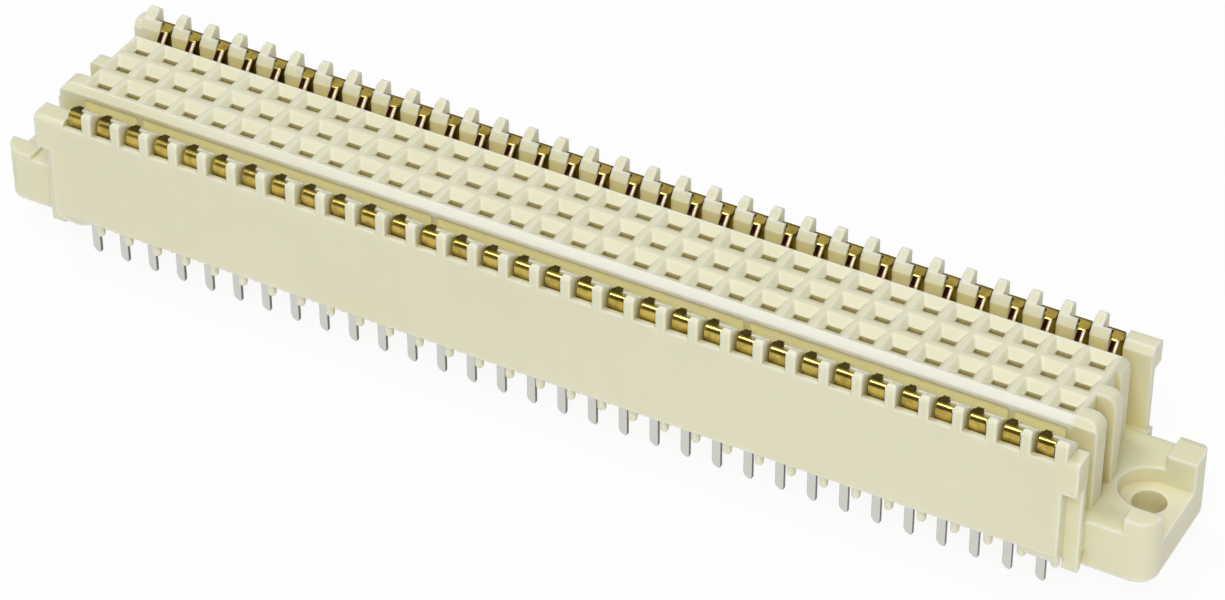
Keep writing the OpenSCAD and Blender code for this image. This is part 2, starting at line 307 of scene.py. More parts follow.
@dataclass(frozen=True)
class MouldedSkin(SharedEffect):
    """The skin of moulded plastic: cloudy colour, flow along the rows and a fine grain.

    Args:
        cloud: cells of the cloudy colour in a metre.
        grain: cells of the fine grain in a metre.
        drawn: how many times longer than wide the flow lines are.
        cloud_range: the noise's values between which the cloud mask runs from 0 to 1.
        flow_range: the same for the flow mask.
    """

    cloud: float = 90.0
    grain: float = 9000.0
    drawn: float = 10.0
    cloud_range: Pair = (0.3, 0.7)
    flow_range: Pair = (0.25, 0.75)

    def build(self) -> None:
        """Fills the group with three noises, the second drawn out along X."""
        board, start, end = self.open()
        fine = self.cloud * self.drawn
        cloud = board.noise(start, (self.cloud,) * 3, detail=3.0)
        flow = board.noise(start, (self.cloud, fine, fine), detail=4.0)
        grain = board.noise(start, (self.grain,) * 3, detail=2.0)
        board.join(board.ramp(cloud, *self.cloud_range), 0, end, "Cloud")
        board.join(board.ramp(flow, *self.flow_range), 0, end, "Flow")
        board.join(grain, 0, end, "Grain")


@dataclass(frozen=True)
class PlatedSkin(SharedEffect):
    """The skin of a plated strip: tarnish in spots and the drawn lines of rolled stock.

    Args:
        spots: cells of the tarnish in a metre.
        lines: drawn lines in a metre of the strip's width.
        drawn: how many times longer they are along Y and along Z.
        spots_range: the noise's values between which the tarnish runs from 0 to 1.
    """

    spots: float = 1100.0
    lines: float = 14000.0
    drawn: Pair = (20.0, 40.0)
    spots_range: Pair = (0.4, 0.68)

    def build(self) -> None:
        """Fills the group: a spotty noise, and one drawn out along the height."""
        board, start, end = self.open()
        drawn_y, drawn_z = self.drawn
        lengths = (self.lines, self.lines / drawn_y, self.lines / drawn_z)
        spots = board.noise(start, (self.spots,) * 3, detail=4.0)
        lines = board.noise(start, lengths, detail=2.0)
        board.join(board.ramp(spots, *self.spots_range), 0, end, "Tarnish")
        board.join(lines, 0, end, "Lines")


MOULDED = MouldedSkin("moulded skin", ("Cloud", "Flow", "Grain"))
PLATED = PlatedSkin("plated skin", ("Tarnish", "Lines"))


@dataclass
class Coat(Board):
    """The node tree of a new material, with the nodes that its layers read.

    Args:
        tree: the tree.
        material: the material.
        shader: its Principled BSDF.
        place: its texture coordinates.
        skin: the shared effect of its skin.
    """

    material: bpy.types.Material
    shader: Node
    place: Node
    skin: Node


def start_coat(name: str, effect: SharedEffect) -> Coat:
    """Makes a material.

    Args:
        name: the material's name.
        effect: the shared effect of its skin.

    Returns:
        The coat, whose shader still has its first values.
    """
    material = bpy.data.materials.new(name)
    material.use_nodes = True
    board = Board(material.node_tree)
    place = board.add("TexCoord")
    skin = board.add("Group", node_tree=bpy.data.node_groups[effect.name])
    board.join(place, "Object", skin, "Place")
    shader = material.node_tree.nodes["Principled BSDF"]
    return Coat(board.tree, material, shader, place, skin)


@dataclass(frozen=True)
class Plastic:
    """Satin glass-filled plastic of one colour.

    A range is a pair: the value at which a tone starts to show and the one at which it is
    full. Marks are four distances in mm outwards from the funnels' outer sides: a mask
    rises from the first to the second and falls from the third to the fourth.

    Args:
        name: the material's name.
        colour: the colour in full light.
        pale: the colour of the lighter clouds.
        groove_shade: the painted shade that grooves and pockets take.
        slot_shade: the painted shade far inside the block's slots.
        rim: a painted highlight colour along the edges, on thin ribs and on the block's front
            rim.
        inner: the colour of a painted glow, an emission on the block's thin panels.
        glow: how strong that painted glow is.
        block: in mm the middle block's half length, its half width over the funnels and
            the height of its rim's foot.
        panel_marks: the marks of the thin panels.
        front_highlight_marks: the marks of the painted highlight on the front rim.
        fade: how wide in mm the soft edge of the other masks is.
        end_fade: how wide in mm it is at the block's ends.
        front_highlight_start: how far left of the middle, in half lengths, that painted
            highlight is full.
        groove_shade_range: the range of the painted groove shade, in shares of open space.
        slot_shade_range: the range of the painted slot shade, in the same.
        edge_highlight_range: the range of the painted edge highlight, in the cosine of the
            normals' angle.
        edge_highlight_open: the share of open space at which the painted edge highlight starts
            and is full.
        roughness: the gloss of the satin skin.
        gloss_range: what the grain's valleys and peaks add to the roughness.
        edge: the radius in mm that the light sees on the edges.
        thin: how far in mm from an edge the painted highlight reaches.
        hollow: how far in mm a hollow reaches.
        flow: how high the flow lines stand against the grain.
        relief: the strength of the grain and its height in mm.
        ior: the plastic's index of refraction.
        milk: the share of the light that wanders inside the plastic.
        depth: how far in mm it wanders there.
        wander: the share of that way for red, green and blue.
    """

    name: str
    colour: Colour
    pale: Colour
    groove_shade: Colour
    slot_shade: Colour
    rim: Colour
    inner: Colour
    glow: float = 0.27
    block: Triple = (40.2, 3.65, 10.5)
    panel_marks: Quad = (0.1, 0.2, 0.4, 0.48)
    front_highlight_marks: Quad = (0.0, 0.1, 0.8, 1.0)
    fade: float = 0.1
    end_fade: float = 0.5
    front_highlight_start: float = 0.2
    groove_shade_range: Pair = (0.7, 0.25)
    slot_shade_range: Pair = (0.36, 0.12)
    edge_highlight_range: Pair = (0.999, 0.88)
    edge_highlight_open: Pair = (0.35, 0.65)
    roughness: float = 0.42
    gloss_range: Pair = (-0.05, 0.08)
    edge: float = 0.2
    thin: float = 0.4
    hollow: float = 3.0
    flow: float = 0.35
    relief: Pair = (0.25, 0.02)
    ior: float = 1.52
    milk: float = 0.5
    depth: float = 0.9
    wander: Triple = (1.0, 0.95, 0.8)

    def block_masks(self, coat: Coat) -> tuple[Node, Node, Node]:
        """Adds the masks that follow from the place on the middle block.

        Args:
            coat: the material.

        Returns:
            The masks of the block's inside, of its thin panels, which take the painted glow,
            and of its front rim, which takes a painted highlight.
        """
        length, width, foot = (size * MM for size in self.block)
        panel_marks = [width + gap * MM for gap in self.panel_marks]
        front_highlight_marks = [-width - gap * MM for gap in reversed(self.front_highlight_marks)]
        fade = self.fade * MM
        axes = coat.add("SeparateXYZ")
        along = coat.add("Math", operation="ABSOLUTE")
        across = coat.add("Math", operation="ABSOLUTE")
        coat.join(coat.place, "Object", axes, 0)
        coat.join(axes, "X", along, 0)
        coat.join(axes, "Y", across, 0)
        middle = coat.ramp(along, length + self.end_fade * MM, length)
        inside = coat.ramp(across, width, width - fade)
        below = coat.ramp(axes, foot + fade / 2, foot - fade / 2, "Z")
        above = coat.ramp(axes, foot - fade / 2, foot + fade / 2, "Z")
        panel = coat.product(coat.window(across, panel_marks), below, middle)
        # the painted highlight on the front rim fades out towards the left end
        lit = coat.ramp(axes, -length, -self.front_highlight_start * length, "X")
        front = coat.product(coat.window(axes, front_highlight_marks, "Y"), above, lit, middle)
        return inside, panel, front

    def edge_highlight_mask(self, coat: Coat, hollow: Node, front: Node) -> Node:
        """Adds the mask of the painted highlight in the rim tone.

        An edge is where a widely rounded normal leaves the face's own. The mask is the
        greater of the edges in open space and the front rim.

        Args:
            coat: the material.
            hollow: the measure of the open space.
            front: the mask of the painted highlight on the front rim.

        Returns:
            The node whose first output is the mask.
        """
        wide_edge = coat.add("Bevel", {"Radius": self.thin * MM}, samples=4)
        face = coat.add("NewGeometry")
        bend = coat.add("VectorMath", operation="DOT_PRODUCT")
        coat.join(wide_edge, 0, bend, 0)
        coat.join(face, "Normal", bend, 1)
        edge = coat.ramp(bend, *self.edge_highlight_range, "Value")
        clear = coat.ramp(hollow, *self.edge_highlight_open, "AO")
        return coat.greater((coat.product(edge, clear), 0), (front, 0))

    def paint(self, coat: Coat) -> None:
        """Fills in the colour with its painted shade and highlight, and the panels' painted
        glow.

        The colour is a cloudy mix of two tones. It turns to a painted groove shade the less
        open space lies in front of the surface, then to the rim tone, a painted highlight, in
        the highlight mask, and inside the block to a painted slot shade.

        Args:
            coat: the material.
        """
        hollow = coat.add("AmbientOcclusion", {"Distance": self.hollow * MM}, samples=6)
        inside, panel, front = self.block_masks(coat)
        # painted shade: the colour darkens the less open space lies in front, in grooves and
        # pockets
        groove_shade = coat.ramp(hollow, *self.groove_shade_range, "AO")
        # painted shade far inside the block's slots
        slot_shade = coat.product(coat.ramp(hollow, *self.slot_shade_range, "AO"), inside)
        # painted highlight along open edges and on the block's front rim
        rim = self.edge_highlight_mask(coat, hollow, front)
        tone = coat.blend((coat.skin, "Cloud"), self.colour, self.pale)
        groove = coat.blend((groove_shade, 0), tone, self.groove_shade)
        edged = coat.blend((rim, 0), groove, self.rim)
        body = coat.blend((slot_shade, 0), edged, self.slot_shade)
        # painted glow: an emission on the thin panels, though they are no lamp
        light = coat.blend((panel, 0), BLACK, self.inner)
        coat.join(*body, coat.shader, "Base Color")
        coat.join(*light, coat.shader, "Emission Color")
        coat.shader.inputs["Emission Strength"].default_value = self.glow

    def texture(self, coat: Coat) -> None:
        """Fills in the bump of grain and flow lines, the rounded edges and the gloss.

        Args:
            coat: the material.
        """
        strength, relief = self.relief
        round_edge = coat.add("Bevel", {"Radius": self.edge * MM}, samples=6)
        height = coat.add("Math", {1: self.flow}, operation="MULTIPLY_ADD")
        bump = coat.add("Bump", {"Strength": strength, "Distance": relief * MM})
        coat.join(coat.skin, "Flow", height, 0)
        coat.join(coat.skin, "Grain", height, 2)
        coat.join(height, 0, bump, "Height")
        coat.join(round_edge, 0, bump, "Normal")
        coat.join(bump, 0, coat.shader, "Normal")
        valley, peak = (self.roughness + change for change in self.gloss_range)
        gloss = coat.add("MapRange", {"To Min": valley, "To Max": peak})
        coat.join(coat.skin, "Grain", gloss, "Value")
        coat.join(gloss, 0, coat.shader, "Roughness")

    def build(self) -> bpy.types.Material:
        """Makes the material.

        Returns:
            The finished material.
        """
        coat = start_coat(self.name, MOULDED)
        self.paint(coat)
        self.texture(coat)
        coat.shader.inputs["IOR"].default_value = self.ior
        coat.shader.inputs["Subsurface Weight"].default_value = self.milk
        coat.shader.inputs["Subsurface Radius"].default_value = self.wander
        coat.shader.inputs["Subsurface Scale"].default_value = self.depth * MM
        return coat.material


@dataclass(frozen=True)
class Plating:
    """Gold over the spring and tin over the tail.

    Args:
        name: the material's name.
        gold: the clean gold.
        tarnish: the brown of tarnished gold, which also stands for painted shade in hollows.
        edge: the pale gold of a painted highlight on the cut edges and on the right half of
        the shaded beams.
        shaded: a painted dark reflection on the broad faces that look into the dark of the
        groove.
        tin: the grey of the tail.
        tin_edge: the darker grey of the tail's cut edges.
        border: the height in mm at which the tin ends.
        border_fade: how far in mm below and above it the two metals mix.
        waver: how far in mm the border wavers.
        wear: how much the spots of tarnish turn the gold.
        shade_range: the share of open space at which the painted shade starts to turn the
        gold and has turned it.
        cut_range: the values of the cut edge at which its pale painted highlight starts to
        show and is full.
        cut_metal: how metallic a cut edge and the painted highlight are.
        gold_roughness: the gloss of the gold.
        tin_roughness: the gloss of the tin.
        relief: the strength of the drawn lines and their height in mm.
        hollow: how far in mm a hollow reaches.
    """

    name: str
    gold: Colour
    tarnish: Colour
    edge: Colour
    shaded: Colour
    tin: Colour
    tin_edge: Colour
    border: float = 1.5
    border_fade: Pair = (0.1, 0.2)
    waver: float = 0.3
    wear: float = 0.4
    shade_range: Pair = (0.8, 0.2)
    cut_range: Pair = (0.5, 0.9)
    cut_metal: float = 0.15
    gold_roughness: float = 0.19
    tin_roughness: float = 0.36
    relief: Pair = (0.2, 0.01)
    hollow: float = 1.2

    def gold_tone(self, coat: Coat, cut: Node) -> Socket:
        """Adds the colour of the gold.

        Gold turns to the brown in tarnish spots and, as painted shade, in hollows, and to
        the painted dark reflection where the strip is shaded. The cut edges carry a pale
        painted highlight.

        Args:
            coat: the material.
            cut: the attribute of the cut edges and the painted highlight.

        Returns:
            The node of the colour and its output.
        """
        hollow = coat.add("AmbientOcclusion", {"Distance": self.hollow * MM}, samples=6)
        # painted shade: the gold turns to the brown where little open space lies in front
        shade = coat.ramp(hollow, *self.shade_range, "AO")
        tarnish_and_shade = coat.add("Math", {1: self.wear}, operation="MULTIPLY_ADD", use_clamp=True)
        coat.join(coat.skin, "Tarnish", tarnish_and_shade, 0)
        coat.join(shade, 0, tarnish_and_shade, 2)
        face = coat.blend((tarnish_and_shade, 0), self.gold, self.tarnish)
        # painted dark reflection where the strip is shaded
        dark = coat.add("Attribute", attribute_name=SHADED)
        broad = coat.blend((dark, "Fac"), face, self.shaded)
        # painted highlight: pale gold on the cut edges and on the shaded beams' right half
        pale = coat.ramp(cut, *self.cut_range, "Fac")
        return coat.blend((pale, 0), broad, self.edge)

    def gold_mask(self, coat: Coat) -> Node:
        """Adds the mask of the gold, which lies above a border that wavers a little.

        Args:
            coat: the material.

        Returns:
            The node whose first output is the mask.
        """
        fade_below, fade_above = self.border_fade
        axes = coat.add("SeparateXYZ")
        coat.join(coat.place, "Object", axes, 0)
        waver = coat.add("Math", {1: self.waver * MM}, operation="MULTIPLY_ADD")
        coat.join(coat.skin, "Tarnish", waver, 0)
        coat.join(axes, "Z", waver, 2)
        low, high = (self.border - fade_below) * MM, (self.border + fade_above) * MM
        return coat.ramp(waver, low, high)

    def build(self) -> bpy.types.Material:
        """Makes the material, in which the drawn lines of the stock are a bump.

        Returns:
            The finished material.
        """
        coat = start_coat(self.name, PLATED)
        cut = coat.add("Attribute", attribute_name=CUT_EDGE_AND_HIGHLIGHT)
        above = self.gold_mask(coat)
        gold = self.gold_tone(coat, cut)
        tail = coat.blend((cut, "Fac"), self.tin, self.tin_edge)
        coat.join(*coat.blend((above, 0), tail, gold), coat.shader, "Base Color")
        values = {"To Min": self.tin_roughness, "To Max": self.gold_roughness}
        gloss = coat.add("MapRange", values)
        coat.join(above, 0, gloss, "Value")
        coat.join(gloss, 0, coat.shader, "Roughness")
        strength, relief = self.relief
        bump = coat.add("Bump", {"Strength": strength, "Distance": relief * MM})
        coat.join(coat.skin, "Lines", bump, "Height")
        coat.join(bump, 0, coat.shader, "Normal")
        metal = coat.add("MapRange", {"To Min": 1.0, "To Max": self.cut_metal})
        coat.join(cut, "Fac", metal, "Value")
        coat.join(metal, 0, coat.shader, "Metallic")
        return coat.material


@dataclass(frozen=True)
class BentPath:
    """A line in the YZ plane with an arc at every corner.

    Args:
        corners: Y, Z and radius of each corner in mm; the two ends have no arc.
        steps: how many chords an arc has.
    """

    corners: tuple[Triple, ...]
    steps: int = 5

    def trace(self, extra: tuple[float, ...] = ()) -> tuple[np.ndarray, np.ndarray, np.ndarray]:
        """Walks the path.

        At a corner with turn a and radius r the arc starts r tan(|a| / 2) before the
        corner. Its points are centre + r (sin, -cos) of the heading, which turns evenly
        from the first leg's heading to the second's.

        Args:
            extra: lengths along the path at which more points are wanted.

        Returns:
            The length along the path, the points in YZ, and the heading in radians.
        """
        table = np.array(self.corners)
        points, radius = table[:, :2], table[1:-1, 2]
        legs = np.diff(points, axis=0)
        heading = np.unwrap(np.arctan2(legs[:, 1], legs[:, 0]))
        turn = np.diff(heading)
        way = np.stack([np.cos(heading), np.sin(heading)], 1)
        start = points[1:-1] - way[:-1] * (radius * np.tan(np.abs(turn) / 2))[:, None]
        side = np.sign(turn)[:, None] * np.stack([-way[:-1, 1], way[:-1, 0]], 1)
        centre = start + side * radius[:, None]
        angle = heading[:-1, None] + turn[:, None] * np.linspace(0, 1, self.steps + 1)
        spoke = np.sign(turn)[:, None, None] * np.stack([np.sin(angle), -np.cos(angle)], 2)
        arcs = centre[:, None] + radius[:, None, None] * spoke
        line = np.concatenate([points[:1], arcs.reshape(-1, 2), points[-1:]])
        course = np.concatenate([heading[:1], angle.ravel(), heading[-1:]])
        length = np.concatenate([[0], np.cumsum(np.linalg.norm(np.diff(line, axis=0), axis=1))])
        stops = np.union1d(length, np.clip(extra, 0, length[-1]))
        stops = stops[np.append(True, np.diff(stops) > SAME_PLACE)]
        walked = np.stack([np.interp(stops, length, line[:, k]) for k in (0, 1)], 1)
        return stops, walked, np.interp(stops, length, course)

    def corner_lengths(self) -> np.ndarray:
        """Gives the length along the path at the middle of each arc, as an array."""
        stops, line, _ = self.trace()
        inner = np.array(self.corners)[1:-1, :2]
        gap = np.linalg.norm(line[None] - inner[:, None], axis=2)
        return stops[np.argmin(gap, axis=1)]


@dataclass
class Strip:
    """One strip of metal: a rounded flat section carried along a bent path.

    Args:
        path: the middle line of the strip.
        widths: rows of length along the path, left edge and right edge, in mm along X.
        thickness: the thickness in mm.
        corner: the radius of the section's corners in mm.
        crown: how far the middle of the outer face stands proud, in mm.
        tips: the radius in mm of the first end's left and right corner, or 0 for square.
        plain: the two lengths along the path between which the cut edges and their
        pale painted highlight don't show.
        shaded_from: the length along the path from which the strip takes a painted dark
        reflection.
    """

    path: BentPath
    widths: np.ndarray
    thickness: float
    corner: float = 0.05
    crown: float = 0.0
    tips: Pair = (0.0, 0.0)
    plain: Pair = (0.0, 0.0)
    shaded_from: float = np.inf

    def section(self) -> np.ndarray:
        """Works out the section.

        Four quarter circles of three points each stand at the corners of a rectangle. A
        point close behind each keeps the broad faces flat, and one lies in the middle of
        each broad face, of which the outer one carries the crown.

        Returns:
            Rows of side (-1 or 1, 0 in the middle), inset from that edge, height and share
            of the crown.
        """
        angle = np.radians([0, 45, 90])
        inset = np.append(self.corner * (1 - np.cos(angle)), self.corner + FACE_START)
        rise = self.thickness / 2 - self.corner * (1 - np.sin(np.append(angle, angle[-1])))
        one, none = np.ones(4), np.zeros(4)
        parts = (
            np.stack([one, inset, rise, none], 1),
            np.array([[0, 0, self.thickness / 2, 1.0]]),
            np.stack([-one, inset, rise, none], 1)[::-1],
            np.stack([-one, inset, -rise, none], 1),
            np.array([[0, 0, -self.thickness / 2, 0.0]]),
            np.stack([one, inset, -rise, none], 1)[::-1],
        )
        return np.concatenate(parts)

    def grid(self) -> tuple[np.ndarray, np.ndarray]:
        """Carries the section along the path.

        A point is (x, P + N h): x runs between the two edges, P is the path's point, h
        the section's height and N = (sin, -cos) of the heading. Within a corner of the
        tip with radius r that edge draws in to r - sqrt(r^2 - (r - s)^2) at a length s.

        Returns:
            The points as stations by section by 3 in mm, and as stations by section by 4
            their length, x, cut edge (1 on the narrow sides and, as a painted highlight, on
            the right half of the shaded part, 0 elsewhere and between the plain lengths) and
            shade (the painted dark reflection: 1 on the shaded part, 0 elsewhere).
        """
        table = np.asarray(self.widths, float)
        round_end = max(self.tips) * (1 - np.cos(np.radians(TIP_ANGLES)))
        stops, line, heading = self.path.trace((*table[:, 0], *round_end))
        left = np.interp(stops, table[:, 0], table[:, 1])
        right = np.interp(stops, table[:, 0], table[:, 2])
        tips = np.array(self.tips)[:, None]
        back = np.clip(tips - np.maximum(stops, TIP_START), 0, None)
        draw = tips - np.sqrt(tips**2 - back**2)
        left, right = left + draw[0], right - draw[1]
        side, inset, rise, crown = self.section().T
        middle = (left + right)[:, None] / 2
        half = (right - left)[:, None] / 2
        x = middle + side * (half - np.minimum(inset, half * INSET_SHARE))
        lift = rise + crown * self.crown
        out = np.stack([np.sin(heading), -np.cos(heading)], 1)
        yz = line[:, None] + out[:, None] * lift[None, :, None]
        points = np.concatenate([x[:, :, None], yz], 2)
        length = np.broadcast_to(stops[:, None], x.shape)
        start, end = self.plain
        shown = (stops < start) | (stops > end)
        # painted dark reflection: the part from shaded_from on is marked shaded
        shade = np.broadcast_to((stops > self.shaded_from)[:, None], x.shape)
        # painted highlight: the right half of the shaded part is marked as a cut edge and shows
        # pale
        lit_edge = (side > 0) & shade
        cut = ((side != 0) & (inset < self.corner / 2) | lit_edge) * shown[:, None]
        return points, np.stack([length, x, cut, shade], 2)

    def shell(self) -> tuple[np.ndarray, np.ndarray, np.ndarray, np.ndarray]:
        """Joins the grid into a closed surface.

        Returns:
            The points, the four-sided faces round the strip, the two end faces, and the
            length, x, cut edge and shade of each point.
        """
        points, chart = self.grid()
        stations, ring = points.shape[:2]
        index = np.arange(stations * ring).reshape(stations, ring)
        ahead = np.roll(index, -1, axis=1)
        faces = np.stack([index[:-1], ahead[:-1], ahead[1:], index[1:]], 2).reshape(-1, 4)
        ends = np.stack([index[0, ::-1], index[-1]])
        return points.reshape(-1, 3), faces, ends, chart.reshape(-1, 4)


def even_width(half: float) -> np.ndarray:
    """Gives the width table of a strip with straight edges, from half its width in mm."""
    return np.array([(0, -half, half), (FAR, -half, half)])


@dataclass
class ContactBank:
    """One piece: the contacts of a quarter of one row, as one mesh.

    Args:
        name: the piece's name.
        node: the CAD node that it stands for.
        slot: the record's material slot; not used.
        strips: the strips of one contact, standing at X = 0.
        row: the Y in mm of the row's own frame.
        turned: whether the contact is turned half round about Z.
    """

    name: str
    node: str
    slot: str
    strips: tuple[Strip, ...]
    row: float
    turned: bool

    def columns(self) -> np.ndarray:
        """Gives the X in mm of each contact, from the bank's number and the pitch."""
        number = int(self.node[-1])
        count = COLUMNS // len(BANKS)
        first = (number - 1) * count
        return (np.arange(first, first + count) - (COLUMNS - 1) / 2) * PITCH

    def arrays(self) -> tuple[np.ndarray, list, np.ndarray]:
        """Repeats the strips at every column.

        Returns:
            The points in mm, all the faces, and the length, x, cut edge and shade of each
            point.
        """
        columns = self.columns()
        points, faces, charts, count = [], [], [], 0
        for strip in self.strips:
            shape, quads, ends, chart = strip.shell()
            if self.turned:
                shape = shape * (-1, -1, 1)
            steps = count + np.arange(len(columns))[:, None, None] * len(shape)
            shift = np.stack([columns, np.full(len(columns), self.row), 0 * columns], 1)
            points.append((shape[None] + shift[:, None]).reshape(-1, 3))
            charts.append(np.tile(chart, (len(columns), 1)))
            faces += (quads[None] + steps).reshape(-1, 4).tolist()
            faces += (ends[None] + steps).reshape(-1, ends.shape[1]).tolist()
            count += len(shape) * len(columns)
        return np.concatenate(points), faces, np.concatenate(charts)

    def build(self, finish: bpy.types.Material) -> bpy.types.Object:
        """Makes the piece, dresses it and puts it in the CAD node's place.

        Args:
            finish: the material of the contacts.

        Returns:
            The piece.
        """
        points, faces, chart = self.arrays()
        mesh = bpy.data.meshes.new(self.name)
        mesh.from_pydata(points * MM, [], faces)
        mesh.shade_smooth()
        layer = mesh.uv_layers.new(name="strip")
        corner = np.zeros(len(mesh.loops), np.int32)
        mesh.loops.foreach_get("vertex_index", corner)
        layer.uv.foreach_set("vector", chart[corner, :2].astype(np.float32).ravel())
        for name, column in ((CUT_EDGE_AND_HIGHLIGHT, 2), (SHADED, 3)):
            mask = mesh.attributes.new(name, "FLOAT", "POINT")
            mask.data.foreach_set("value", chart[:, column].astype(np.float32))
        mesh.materials.append(finish)
        mesh.update()
        piece = show(self.name, mesh)
        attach(piece, BODY)
        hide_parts(self.node)
        LOG.info("%s: %d points, %d faces", self.name, len(mesh.vertices), len(mesh.polygons))
        return piece


@dataclass
class OuterSpring:
    """The spring of an outer row, as it stands in the rear wall, from tail to beam.

    Every length is in mm, and "past" and "before" are lengths along the strip.

    Args:
        row: Y of the row of tails.
        leg: Y of the middle of the upright leg.
        foot: Z of the middle of the foot.
        top: Z of the middle of the strip over the bend.
        brow: Y and Z where the tilted shoulder meets the beam's slope.
        nose: Y and Z of the corner where the beam reaches furthest into the groove.
        end: Y and Z of the beam's free end.
        tail: Z of the tail's tip.
        thickness: the thickness of the strip.
        tail_half: half the width of the tail.
        tips: the radius of the tail's tip on its left and on its right.
        leg_edges: X of the leg's two edges.
        shoulder_half: half the width of the strip over the bend.
        beam_half: half the width of the beam.
        bend: the radius of the middle line in the bends over the top.
        foot_bend: the same at the foot's two bends.
        nose_bend: the same at the nose.
        flare: how far past the heel the tail starts and ends to widen to the leg.
        gather: how far past the leg's top bend its edges start and end to draw in.
        neck: how far before the brow the shoulder starts and ends to narrow to the beam.
        taper: near the beam's end, how far before it and how much each edge has drawn in.
        plain_end: how far before the brow the cut edges and their pale painted highlight
        start to show.
        shade_start: how far past the brow the strip's painted dark reflection starts.
        crown: how far the middle of the outer face stands proud.
    """

    row: float = 5.08
    leg: float = 6.80
    foot: float = 2.35
    top: float = 11.01
    brow: Pair = (5.61, 10.9)
    nose: Pair = (5.0, 10.29)
    end: Pair = (5.89, 6.60)
    tail: float = TAIL_TIP
    thickness: float = 0.3
    tail_half: float = 0.36
    tips: Pair = (0.16, 0.55)
    leg_edges: Pair = (-1.02, 0.33)
    shoulder_half: float = 0.45
    beam_half: float = 0.29
    bend: float = 0.27
    foot_bend: float = 0.25
    nose_bend: float = 0.4
    flare: Pair = (0.1, 0.35)
    gather: Pair = (0.21, 0.36)
    neck: Pair = (0.36, 0.22)
    taper: tuple[Pair, Pair] = ((0.12, 0.03), (0.0, 0.12))
    plain_end: float = 0.1
    shade_start: float = 0.02
    crown: float = 0.006

    def strip(self) -> Strip:
        """Lays out the strip's path and its edges.

        Returns:
            The one strip of the spring.
        """
        corners = (
            (self.row, self.tail, 0),
            (self.row, self.foot, self.foot_bend),
            (self.leg, self.foot, self.foot_bend),
            (self.leg, self.top, self.bend),
            (*self.brow, self.bend),
            (*self.nose, self.nose_bend),
            (*self.end, 0),
        )
        path = BentPath(corners)
        heel, _, shoulder, brow, nose = path.corner_lengths()
        last = path.trace()[0][-1]
        tail, wide, half = self.tail_half, self.shoulder_half, self.beam_half
        widths = [(0, -tail, tail), (heel + self.flare[0], -tail, tail)]
        widths += [(heel + self.flare[1], *self.leg_edges)]
        widths += [(shoulder + self.gather[0], *self.leg_edges)]
        widths += [(shoulder + self.gather[1], -wide, wide), (brow - self.neck[0], -wide, wide)]
        widths += [(brow - self.neck[1], -half, half), (nose, -half, half)]
        widths += [(last - before, drawn - half, half - drawn) for before, drawn in self.taper]
        return Strip(
            path=path,
            widths=np.array(widths),
            thickness=self.thickness,
            crown=self.crown,
            tips=self.tips,
            plain=(heel, brow - self.plain_end),
            shaded_from=brow + self.shade_start,
        )


@dataclass
class ForkContact:
    """The fork of an inner row: a tail, a foot and two tines that close and then flare.

    Every length is in mm.

    Args:
        root: Y of the middle of a tine at the foot.
        foot: Z of the middle of the foot.
        shoulder: Z where the tines start to close.
        nose: Y and Z of the middle of a tine where they are closest.
        mouth: Y and Z of the middle of a tine at its end.
        half: half the width of the fork.
        tine: the thickness of a tine.
        tail: Z of the tail's tip.
        tail_half: half the width of the tail.
        thickness: the thickness of the tail.
        bends: the radii of the middle line at the nose, the shoulder and the foot.
        corner: the radius of the tines' section at its corners.
    """

    root: float = 0.74
    foot: float = 2.61
    shoulder: float = 5.1
    nose: Pair = (0.19, 9.5)
    mouth: Pair = (0.36, 10.1)
    half: float = 0.45
    tine: float = 0.22
    tail: float = TAIL_TIP
    tail_half: float = 0.36
    thickness: float = 0.3
    bends: Triple = (0.5, 2.0, 0.2)
    corner: float = 0.04

    def strips(self) -> tuple[Strip, ...]:
        """Lays out the tail and the bent fork.

        Returns:
            The two strips of the contact.
        """
        post = BentPath(((0, self.tail, 0), (0, 0, 0), (0, self.foot, 0)), steps=1)
        tail_tips = (self.tail_half, self.tail_half)
        tail = Strip(post, even_width(self.tail_half), self.thickness, tips=tail_tips)
        nose_bend, shoulder_bend, foot_bend = self.bends
        half_way = (
            (*self.mouth, 0),
            (*self.nose, nose_bend),
            (self.root, self.shoulder, shoulder_bend),
            (self.root, self.foot, foot_bend),
        )
        other = tuple((-y, z, radius) for y, z, radius in half_way[::-1])
        bow = BentPath(half_way + other, steps=3)
        widths = even_width(self.half)
        return tail, Strip(bow, widths, self.tine, corner=self.corner, plain=(0, FAR))


@dataclass
class Housing:
    """The moulded housing, which keeps its CAD solid.

    Args:
        node: the name of the CAD node.
        finish: the plastic.
    """

    node: str
    finish: Plastic

    def dress(self) -> None:
        """Gives every material slot of the solid the plastic."""
        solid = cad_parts[self.node]
        plastic = self.finish.build()
        for slot in solid.material_slots:
            slot.material = plastic
        LOG.info("%s: %s on %d faces", self.node, plastic.name, len(solid.data.polygons))


@dataclass
class Contacts:
    """All the contacts: two rows of springs and three rows of forks.

    Args:
        outer: the finish of the outer springs.
        inner: the finish of the forks.
        spring: the shape of an outer spring.
        fork: the shape of a fork.
    """

    outer: Plating
    inner: Plating
    spring: OuterSpring
    fork: ForkContact

    def build(self) -> list[bpy.types.Object]:
        """Makes the twenty banks.

        Returns:
            The pieces, one for each bank.
        """
        outer, inner = self.outer.build(), self.inner.build()
        spring, fork = (self.spring.strip(),), self.fork.strips()
        rows = [(side, "springs", "outer_contact", spring, 0.0, outer) for side in Side]
        for step, row in zip((-1, 0, 1), InnerRow):
            rows.append((row, "forks", "inner_contact", fork, step * PITCH, inner))
        made = []
        for row, kind, slot, strips, place, finish in rows:
            for bank in BANKS:
                name = f"{kind}_{row.name.lower()}_{bank}"
                node = f"row_{row.value}_bank_{bank}"
                piece = ContactBank(name, node, slot, strips, place, row is Side.FRONT)
                made.append(piece.build(finish))
        return made


